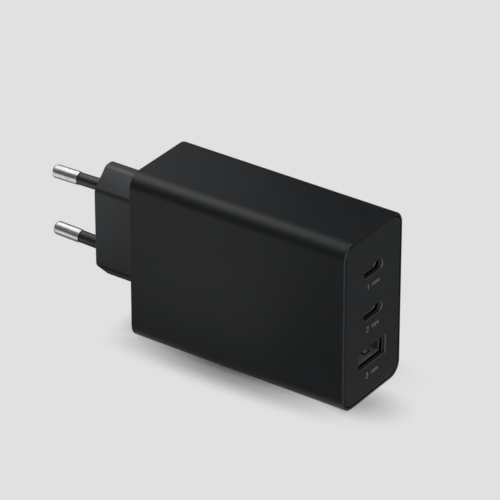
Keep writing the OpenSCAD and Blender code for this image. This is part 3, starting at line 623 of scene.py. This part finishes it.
# %% Satin sleeves
RING_SIZE, RING_STRETCH, RING_DEPTH = 0.5 * MM, (1.0, 0.08, 0.08), 0.0015 * MM


def satin_sleeve(name):
    """Smooth black plastic with faint rings round X."""
    f = Finish(name)
    ring = f.noise(RING_SIZE, 1.0, f.stretched(*RING_STRETCH))
    fine = f.noise(0.4 * MM, 2.0)
    colour = f.blend(ring, grey(0.0105), grey(0.0145))
    roughness = 0.33 + (ring - 0.5) * 0.08 + (fine - 0.5) * 0.03
    normal = f.bump(ring, RING_DEPTH)
    return f.surface(Base_Color=colour, Roughness=roughness, Normal=normal, Specular_IOR_Level=0.75)


sleeve_black = satin_sleeve("sleeve_black")
print("rings on the sleeves:", RING_SIZE / MM, "mm")

# %% [markdown]
# ## Plated metal
# The pins are turned brass with bright nickel on top. Turning leaves rings, plating softens them,
# and the socket leaves fine lines along the pin. The same recipe, with other numbers, makes the
# rolled steel of the port shells. Metal shows what stands around it, so roughness matters more
# here than colour.

# %% A recipe for metal
TURNED_SIZE, DRAWN_SIZE, HAZE_SIZE, METAL_EDGE = 0.09 * MM, 0.12 * MM, 1.6 * MM, 0.12 * MM
TURNED, DRAWN = (1.0, 0.05, 0.05), (0.04, 1.0, 1.0)
# A dark grey for dull metal, and for painted shade on the shells.
DULL_AND_SHADE_GREY = grey(0.03)


def plated_metal(name, colour, rough, rings=TURNED, scratch=DRAWN, depth=0.0003, metallic=1.0,
                 dull_and_shade=None, painted_light=None):
    """Metal of a colour and roughness, with a function for where it is darkened, which marks dull
    metal and painted shade, and one for painted light.
    """
    f = Finish(name)
    turned = f.noise(TURNED_SIZE, 2.0, f.stretched(*rings))
    drawn = f.noise(DRAWN_SIZE, 3.0, f.stretched(*scratch))
    haze = f.noise(HAZE_SIZE, 3.0)
    edge_wear_and_sheen = f.edges(METAL_EDGE)
    dull = tuple(c * 0.86 for c in colour) + (1.0,)
    bright = tuple(min(1.0, c * 1.06) for c in colour) + (1.0,)
    tone = f.blend(f.step(haze, 0.3, 0.7), dull, bright)
    if painted_light:
        tone = painted_light(f, tone)
    if dull_and_shade:
        tone = f.blend(dull_and_shade(f), tone, DULL_AND_SHADE_GREY)
    roughness = rough + (haze - 0.5) * 0.06 + (drawn - 0.5) * 0.05 - edge_wear_and_sheen * 0.05
    normal = f.bump(turned * 0.5 + drawn * 0.5, depth * MM)
    return f.surface(Base_Color=tone, Metallic=metallic, Roughness=roughness, Normal=normal)


print("finest lines on metal:", TURNED_SIZE / MM, "mm")

# %% [markdown]
# ## Where metal is dull, shaded or lit
# Inside the plug block the plating stops, and the roots of the pins are dull. The mouths of the
# shells carry painted shade, and in the lowest port the far wall does too. Its floor carries
# painted light, and the sprung fingers carry a painted highlight, the brightest of all.

# %% The metals
# The plating ends just outside the block's rear face, and the lowest port just below these heights.
PLATING_END = (0.15 * MM, 0.05 * MM)
LOWEST_PORT_TOP = (16 * MM, 17 * MM)
MOUTH_SHADE, FAR_WALL_SHADE = 0.65, 0.75
# Heights above the foot of the lowest port's shell.
FLOOR_TOP, FINGER_FOOT = (1.4 * MM, 1.6 * MM), (0.4 * MM, 0.5 * MM)
# Painted light on the floor of the lowest port, and a painted highlight on its fingers.
SHELL_FLOOR_LIT, FINGER_HIGHLIGHT = grey(0.72, -0.03), grey(0.98, -0.02)
NICKEL, STEEL, GOLD = (0.86, 0.85, 0.83), (0.40, 0.41, 0.42), (0.84, 0.62, 0.27)
BRASS = (0.76, 0.60, 0.28)
ROLLED, ROLLED_LINES = (0.05, 1.0, 1.0), (0.03, 1.0, 1.0)


def inside_block(f):
    """1 on the root of a pin, where the plating stops."""
    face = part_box("plug_block")[0].x
    return f.step(f.along("X"), *(face - depth for depth in PLATING_END))


def painted_shell_shade(f):
    """Where the shells carry painted shade: on the mouths, and on the far wall of the lowest port.
    """
    lowest = 1 - f.step(f.along("Z"), *LOWEST_PORT_TOP)
    far_wall = toward(f, "near", 0.7, 0.95) * lowest * FAR_WALL_SHADE
    return f.sum_node("MAXIMUM", between_front_and_near(f) * MOUTH_SHADE, far_wall)


def painted_shell_light(f, tone):
    """The colour, with painted light on the lowest port's floor and a painted highlight on its
    fingers.
    """
    height, foot = f.along("Z"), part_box("rect_shell")[0].z
    below = 1 - f.step(height, *(foot + rise for rise in FLOOR_TOP))
    finger = f.step(height, *(foot + rise for rise in FINGER_FOOT))
    bright = f.blend(finger, SHELL_FLOOR_LIT, FINGER_HIGHLIGHT)
    return f.blend(toward(f, "top", 0.7, 0.9) * below, tone, bright)


pin_nickel = plated_metal("pin_nickel", NICKEL, 0.24, depth=0.00004, dull_and_shade=inside_block)
shell_steel = plated_metal(
    "shell_steel", STEEL, 0.52, ROLLED, ROLLED_LINES,
    metallic=0.8, dull_and_shade=painted_shell_shade, painted_light=painted_shell_light,
)
contact_gold = plated_metal("contact_gold", GOLD, 0.24)
strip_brass = plated_metal("strip_brass", BRASS, 0.28)
print("metals: 4 finishes")

# %% [markdown]
# ## Circuit boards
# Green solder mask is a glossy lacquer over copper. Where a track runs beneath, the lacquer stands
# a little higher and looks lighter, so one mask of tracks drives colour and bump together.

# %% Solder mask
LANE_SIZE, WEAVE_SIZE = 2.6 * MM, 0.25 * MM
LANE_START, LANE_END = (0.50, 0.52), (0.56, 0.58)
BETWEEN_TRACKS, OVER_TRACK = (0.010, 0.060, 0.030, 1.0), (0.022, 0.120, 0.052, 1.0)


def solder_mask(name, stretch):
    """Green lacquer with tracks beneath, which run along the axis with the smallest factor."""
    f = Finish(name)
    lanes = f.noise(LANE_SIZE, 0.0, f.stretched(*stretch))
    track = f.step(lanes, *LANE_START) - f.step(lanes, *LANE_END)
    weave = f.noise(WEAVE_SIZE, 1.0)
    green = f.blend(track, BETWEEN_TRACKS, OVER_TRACK)
    roughness = 0.24 + (weave - 0.5) * 0.10
    normal = f.bump(track * 0.8 + weave * 0.1, 0.03 * MM)
    return f.surface(Base_Color=green, Roughness=roughness, Normal=normal)


main_green = solder_mask("main_green", (1.0, 1.0, 0.35))
port_green = solder_mask("port_green", (1.0, 0.4, 1.0))
print("tracks on the boards every", LANE_SIZE / MM, "mm or so")

# %% [markdown]
# ## Power parts
# Inside sit the parts that any such charger has. Each finish is a small change of one recipe: a
# base colour with cloudy variation, a grain for the bump, and a roughness that follows both.

# %% A recipe for the parts inside
PART_CLOUD, PART_EDGE = 4 * MM, 0.2 * MM


def plain_part(name, dark, light, rough, size, depth, metallic=0.0, stretch=(1, 1, 1)):
    """A finish between two colours, with a roughness, and a grain and its depth in mm."""
    f = Finish(name)
    grain = f.noise(size * MM, 3.0, f.stretched(*stretch))
    cloud = f.noise(PART_CLOUD, 3.0)
    edge_wear_and_sheen = f.edges(PART_EDGE)
    tone = f.blend(cloud * 0.6 + grain * 0.4, (*dark, 1.0), (*light, 1.0))
    roughness = rough + (grain - 0.5) * 0.16 - edge_wear_and_sheen * 0.06
    normal = f.bump(grain, depth * MM)
    return f.surface(Base_Color=tone, Roughness=roughness, Normal=normal, Metallic=metallic)


# Darker and lighter colour, roughness, grain and its depth, then metal and stretch if they matter.
PARTS = {
    "chip_black": ((0.012, 0.012, 0.013), (0.024, 0.024, 0.026), 0.5, 0.12, 0.006),
    "carrier_ivory": ((0.60, 0.56, 0.46), (0.74, 0.70, 0.60), 0.45, 0.2, 0.006),
    "ferrite": ((0.030, 0.030, 0.034), (0.070, 0.070, 0.076), 0.55, 0.1, 0.01),
    "bobbin_brown": ((0.18, 0.09, 0.03), (0.28, 0.15, 0.06), 0.4, 0.25, 0.006),
    "film_tape": ((0.62, 0.44, 0.05), (0.78, 0.58, 0.10), 0.22, 0.5, 0.01, 0.0, (1, 1, 0.1)),
    "soft_pad": ((0.24, 0.30, 0.36), (0.34, 0.40, 0.46), 0.75, 0.18, 0.02),
    "powder_grey": ((0.07, 0.07, 0.08), (0.13, 0.13, 0.14), 0.6, 0.09, 0.012),
    "box_yellow": ((0.50, 0.37, 0.04), (0.64, 0.50, 0.08), 0.3, 0.3, 0.006),
    "choke_green": ((0.03, 0.09, 0.05), (0.06, 0.15, 0.08), 0.35, 0.2, 0.01),
    "sheet_fibre": ((0.62, 0.62, 0.53), (0.76, 0.76, 0.68), 0.7, 0.15, 0.012),
    "spreader_metal": ((0.66, 0.67, 0.69), (0.80, 0.81, 0.83), 0.36, 0.1, 0.003, 1.0, (0.05, 1, 1)),
    "copper_wire": ((0.52, 0.20, 0.06), (0.70, 0.32, 0.12), 0.26, 0.3, 0.006, 1.0),
}
inside = {name: plain_part(name, *numbers) for name, numbers in PARTS.items()}
print("parts inside:", len(inside), "finishes")

# %% [markdown]
# ## Parts with two finishes
# A storage capacitor is an aluminium can in a shrunk sleeve, and the sleeve stops short of both
# ends. A ceramic fuse has metal caps. A disc has tinned leads. Cutting the mesh would touch the
# model, so each finish looks at the place along one axis and mixes two looks there.

# %% Mixed finishes
SEAM = 0.1 * MM


def two_looks(name, axis, span, inner, outer, rough=(0.25, 0.32), metal=(0.0, 1.0)):
    """The first look between two places along an axis, in metres, and the second past them."""
    f = Finish(name)
    along, (low, high) = f.along(axis), span
    past = 1 - f.step(along, low, low + SEAM) * (1 - f.step(along, high - SEAM, high))
    grain = f.noise(0.3 * MM, 2.0)
    cloud = f.noise(5 * MM, 2.0)
    first = f.blend(cloud, (*(c * 0.85 for c in inner), 1.0), (*inner, 1.0))
    second = f.blend(grain, (*(c * 0.88 for c in outer), 1.0), (*outer, 1.0))
    roughness = rough[0] + past * (rough[1] - rough[0]) + (grain - 0.5) * 0.08
    return f.surface(
        Base_Color=f.blend(past, first, second),
        Metallic=metal[0] + past * (metal[1] - metal[0]),
        Roughness=roughness,
        Normal=f.bump(grain, 0.004 * MM),
    )


def ends(node, axis, low_gap, high_gap):
    """Where a piece begins and ends along an axis, less a margin at each end in millimetres."""
    low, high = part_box(node)
    return low["XYZ".index(axis)] + low_gap * MM, high["XYZ".index(axis)] - high_gap * MM


ALUMINIUM, TIN, CERAMIC = (0.74, 0.75, 0.77), (0.62, 0.62, 0.60), (0.66, 0.63, 0.54)
SLEEVE_BLUE, VENT_BLACK = (0.020, 0.040, 0.085), (0.02, 0.02, 0.02)
LACQUER_BLUE, DISC_BLUE = (0.03, 0.15, 0.36), (0.02, 0.07, 0.34)
storage_span = ends("storage_capacitor_1", "X", 0.6, 1.2)
output_span = ends("output_capacitors", "Y", 0.0, 0.8)
safety_span = ends("safety_capacitor", "Y", -1.0, 0.8)
varistor_span = ends("varistor", "Y", -1.0, 0.8)
fuse_span = ends("fuse", "Z", 2.2, 2.2)
storage_sleeve = two_looks("storage_sleeve", "X", storage_span, SLEEVE_BLUE, ALUMINIUM)
output_can = two_looks(
    "output_can", "Y", output_span, ALUMINIUM, VENT_BLACK, (0.30, 0.5), (1.0, 0.0)
)
safety_blue = two_looks("safety_blue", "Y", safety_span, LACQUER_BLUE, TIN)
varistor_blue = two_looks("varistor_blue", "Y", varistor_span, DISC_BLUE, TIN)
fuse_ceramic = two_looks("fuse_ceramic", "Z", fuse_span, CERAMIC, TIN)
print("mixed finishes: 5")

# %% [markdown]
# ## Who wears what
# One table says which finish each piece of the model takes. A finish that repeats is one
# material, so a change to it reaches every piece that wears it.

# %% Dress the model
WARDROBE = {
    housing_black: ["housing"],
    panel_black: ["front_panel"],
    block_black: ["plug_block"],
    sleeve_black: ["pin_sleeve_upper", "pin_sleeve_lower"],
    pin_nickel: ["pin_upper", "pin_lower"],
    shell_steel: ["oval_shell_1", "oval_shell_2", "rect_shell"],
    contact_gold: ["oval_contacts_1", "oval_contacts_2", "rect_contacts", "header_pins"],
    insulator_black: ["oval_insulator_1", "oval_insulator_2", "rect_insulator"],
    strip_black: ["header_strip"],
    strip_brass: ["contact_upper", "contact_lower"],
    inside["carrier_ivory"]: ["contact_carrier"],
    main_green: ["main_board"],
    port_green: ["port_board"],
    inside["chip_black"]: ["port_chips", "back_chips"],
    inside["ferrite"]: ["core_inner", "core_outer"],
    inside["bobbin_brown"]: ["bobbin"],
    inside["copper_wire"]: ["winding", "choke_winding"],
    inside["film_tape"]: ["core_tape"],
    inside["soft_pad"]: ["thermal_pad"],
    storage_sleeve: ["storage_capacitor_1", "storage_capacitor_2"],
    output_can: ["output_capacitors"],
    inside["powder_grey"]: ["output_inductors"],
    inside["box_yellow"]: ["input_capacitor"],
    safety_blue: ["safety_capacitor"],
    varistor_blue: ["varistor"],
    inside["choke_green"]: ["choke_core"],
    fuse_ceramic: ["fuse"],
    inside["spreader_metal"]: ["heat_spreader"],
    inside["sheet_fibre"]: ["spreader_sheet", "back_sheet"],
}

for finish, names in WARDROBE.items():
    for name in names:
        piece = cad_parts[name]
        piece.data.materials.clear()
        piece.data.materials.append(finish)
bare = set(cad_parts) - {name for names in WARDROBE.values() for name in names}
print("pieces without a finish:", sorted(bare))

# %% [markdown]
# ## The port marks
# Below each port is a small printed mark: the port's number, and the sign for direct current,
# which is a solid bar over three dashes. Pad printing leaves a thin film of ink, so each mark is a
# flat mesh a hundredth of a millimetre proud of the panel. A picture would do the same job, but a
# mesh stays sharp at any distance.

# %% Draw the signs
MARK_HEIGHT, STROKE, INK = 1.6, 0.24, 0.01
# Every line is a row of points, in heights of the mark.
DIGITS = {
    "1": [[(0.12, 0.74), (0.42, 1.0), (0.42, 0.0)]],
    "2": [[(0.04, 0.76), (0.14, 0.94), (0.34, 1.0), (0.54, 0.92),
           (0.62, 0.74), (0.54, 0.52), (0.05, 0.0), (0.66, 0.0)]],
    "3": [[(0.06, 0.88), (0.20, 0.98), (0.38, 1.0), (0.56, 0.90),
           (0.60, 0.74), (0.52, 0.58), (0.30, 0.53)],
          [(0.30, 0.53), (0.54, 0.46), (0.64, 0.28), (0.56, 0.10),
           (0.36, 0.0), (0.18, 0.02), (0.04, 0.12)]],
}
SIGN_LEFT, SIGN_RIGHT, DASH_RIGHT, DASH_STEP = 1.6, 3.75, 2.15, 0.8
BAR_RISE, DASH_RISE = 0.66, 0.30
BAR = [(SIGN_LEFT, BAR_RISE), (SIGN_RIGHT, BAR_RISE)]
DASHES = [
    [(SIGN_LEFT + i * DASH_STEP, DASH_RISE), (DASH_RIGHT + i * DASH_STEP, DASH_RISE)]
    for i in range(3)
]
DIRECT_CURRENT = [BAR] + DASHES
print("signs drawn:", list(DIGITS), "and direct current")

# %% [markdown]
# ## Printing them
# Each line becomes a flat strip of ink with square ends, and the strips of one mark make one mesh.
# The marks go with the panel and wear a speckled grey, because thin ink never covers fully.

# %% Print the marks


def ink_line(points, width):
    """Corners and faces of a flat line of ink through the points, with square ends."""
    corners, faces = [], []
    for i, (x, y) in enumerate(points):
        before, after = Vector(points[max(i - 1, 0)]), Vector(points[min(i + 1, len(points) - 1)])
        ahead = (after - before).normalized()
        side = Vector((-ahead.y, ahead.x)) * width / 2
        corners += [(x + side.x, y + side.y), (x - side.x, y - side.y)]
        if i:
            faces.append((2 * i - 2, 2 * i - 1, 2 * i + 1, 2 * i))
    return corners, faces


def printed_mark(name, lines, foot, finish):
    """A mark in the middle of the port face, with its foot at a height in millimetres."""
    face_x = model_box[1].x + INK * MM
    wide = max(x for line in lines for x, _ in line)
    verts, polys = [], []
    for line in lines:
        corners, faces = ink_line(line, STROKE / MARK_HEIGHT)
        polys += [tuple(len(verts) + i for i in face) for face in faces]
        for cx, cy in corners:
            y, z = (cx - wide / 2) * MARK_HEIGHT, foot + cy * MARK_HEIGHT
            verts.append((face_x, y * MM, z * MM))
    mesh = bpy.data.meshes.new(name)
    mesh.from_pydata(verts, [], polys)
    mark = bpy.data.objects.new(name, mesh)
    bpy.context.scene.collection.objects.link(mark)
    mesh.materials.append(finish)
    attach(mark, "root")


def print_ink(name):
    """Grey ink, thinner in some specks than in others."""
    f = Finish(name)
    speckle = f.noise(0.08 * MM, 2.0)
    colour = f.blend(f.step(speckle, 0.35, 0.7), grey(0.22), grey(0.34))
    roughness = 0.55 + (speckle - 0.5) * 0.2
    return f.surface(Base_Color=colour, Roughness=roughness, Normal=f.bump(speckle, 0.003 * MM))


ink = print_ink("mark_ink")
# The shell that each number stands below, and how far below its middle in millimetres.
PORTS = {"1": ("oval_shell_1", 4.3), "2": ("oval_shell_2", 4.3), "3": ("rect_shell", 5.7)}
for digit, (shell, drop) in PORTS.items():
    low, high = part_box(shell)
    foot = (low.z + high.z) / 2 / MM - drop - MARK_HEIGHT / 2
    printed_mark(f"port_mark_{digit}", DIGITS[digit] + DIRECT_CURRENT, foot, ink)
print("marks printed:", list(PORTS))
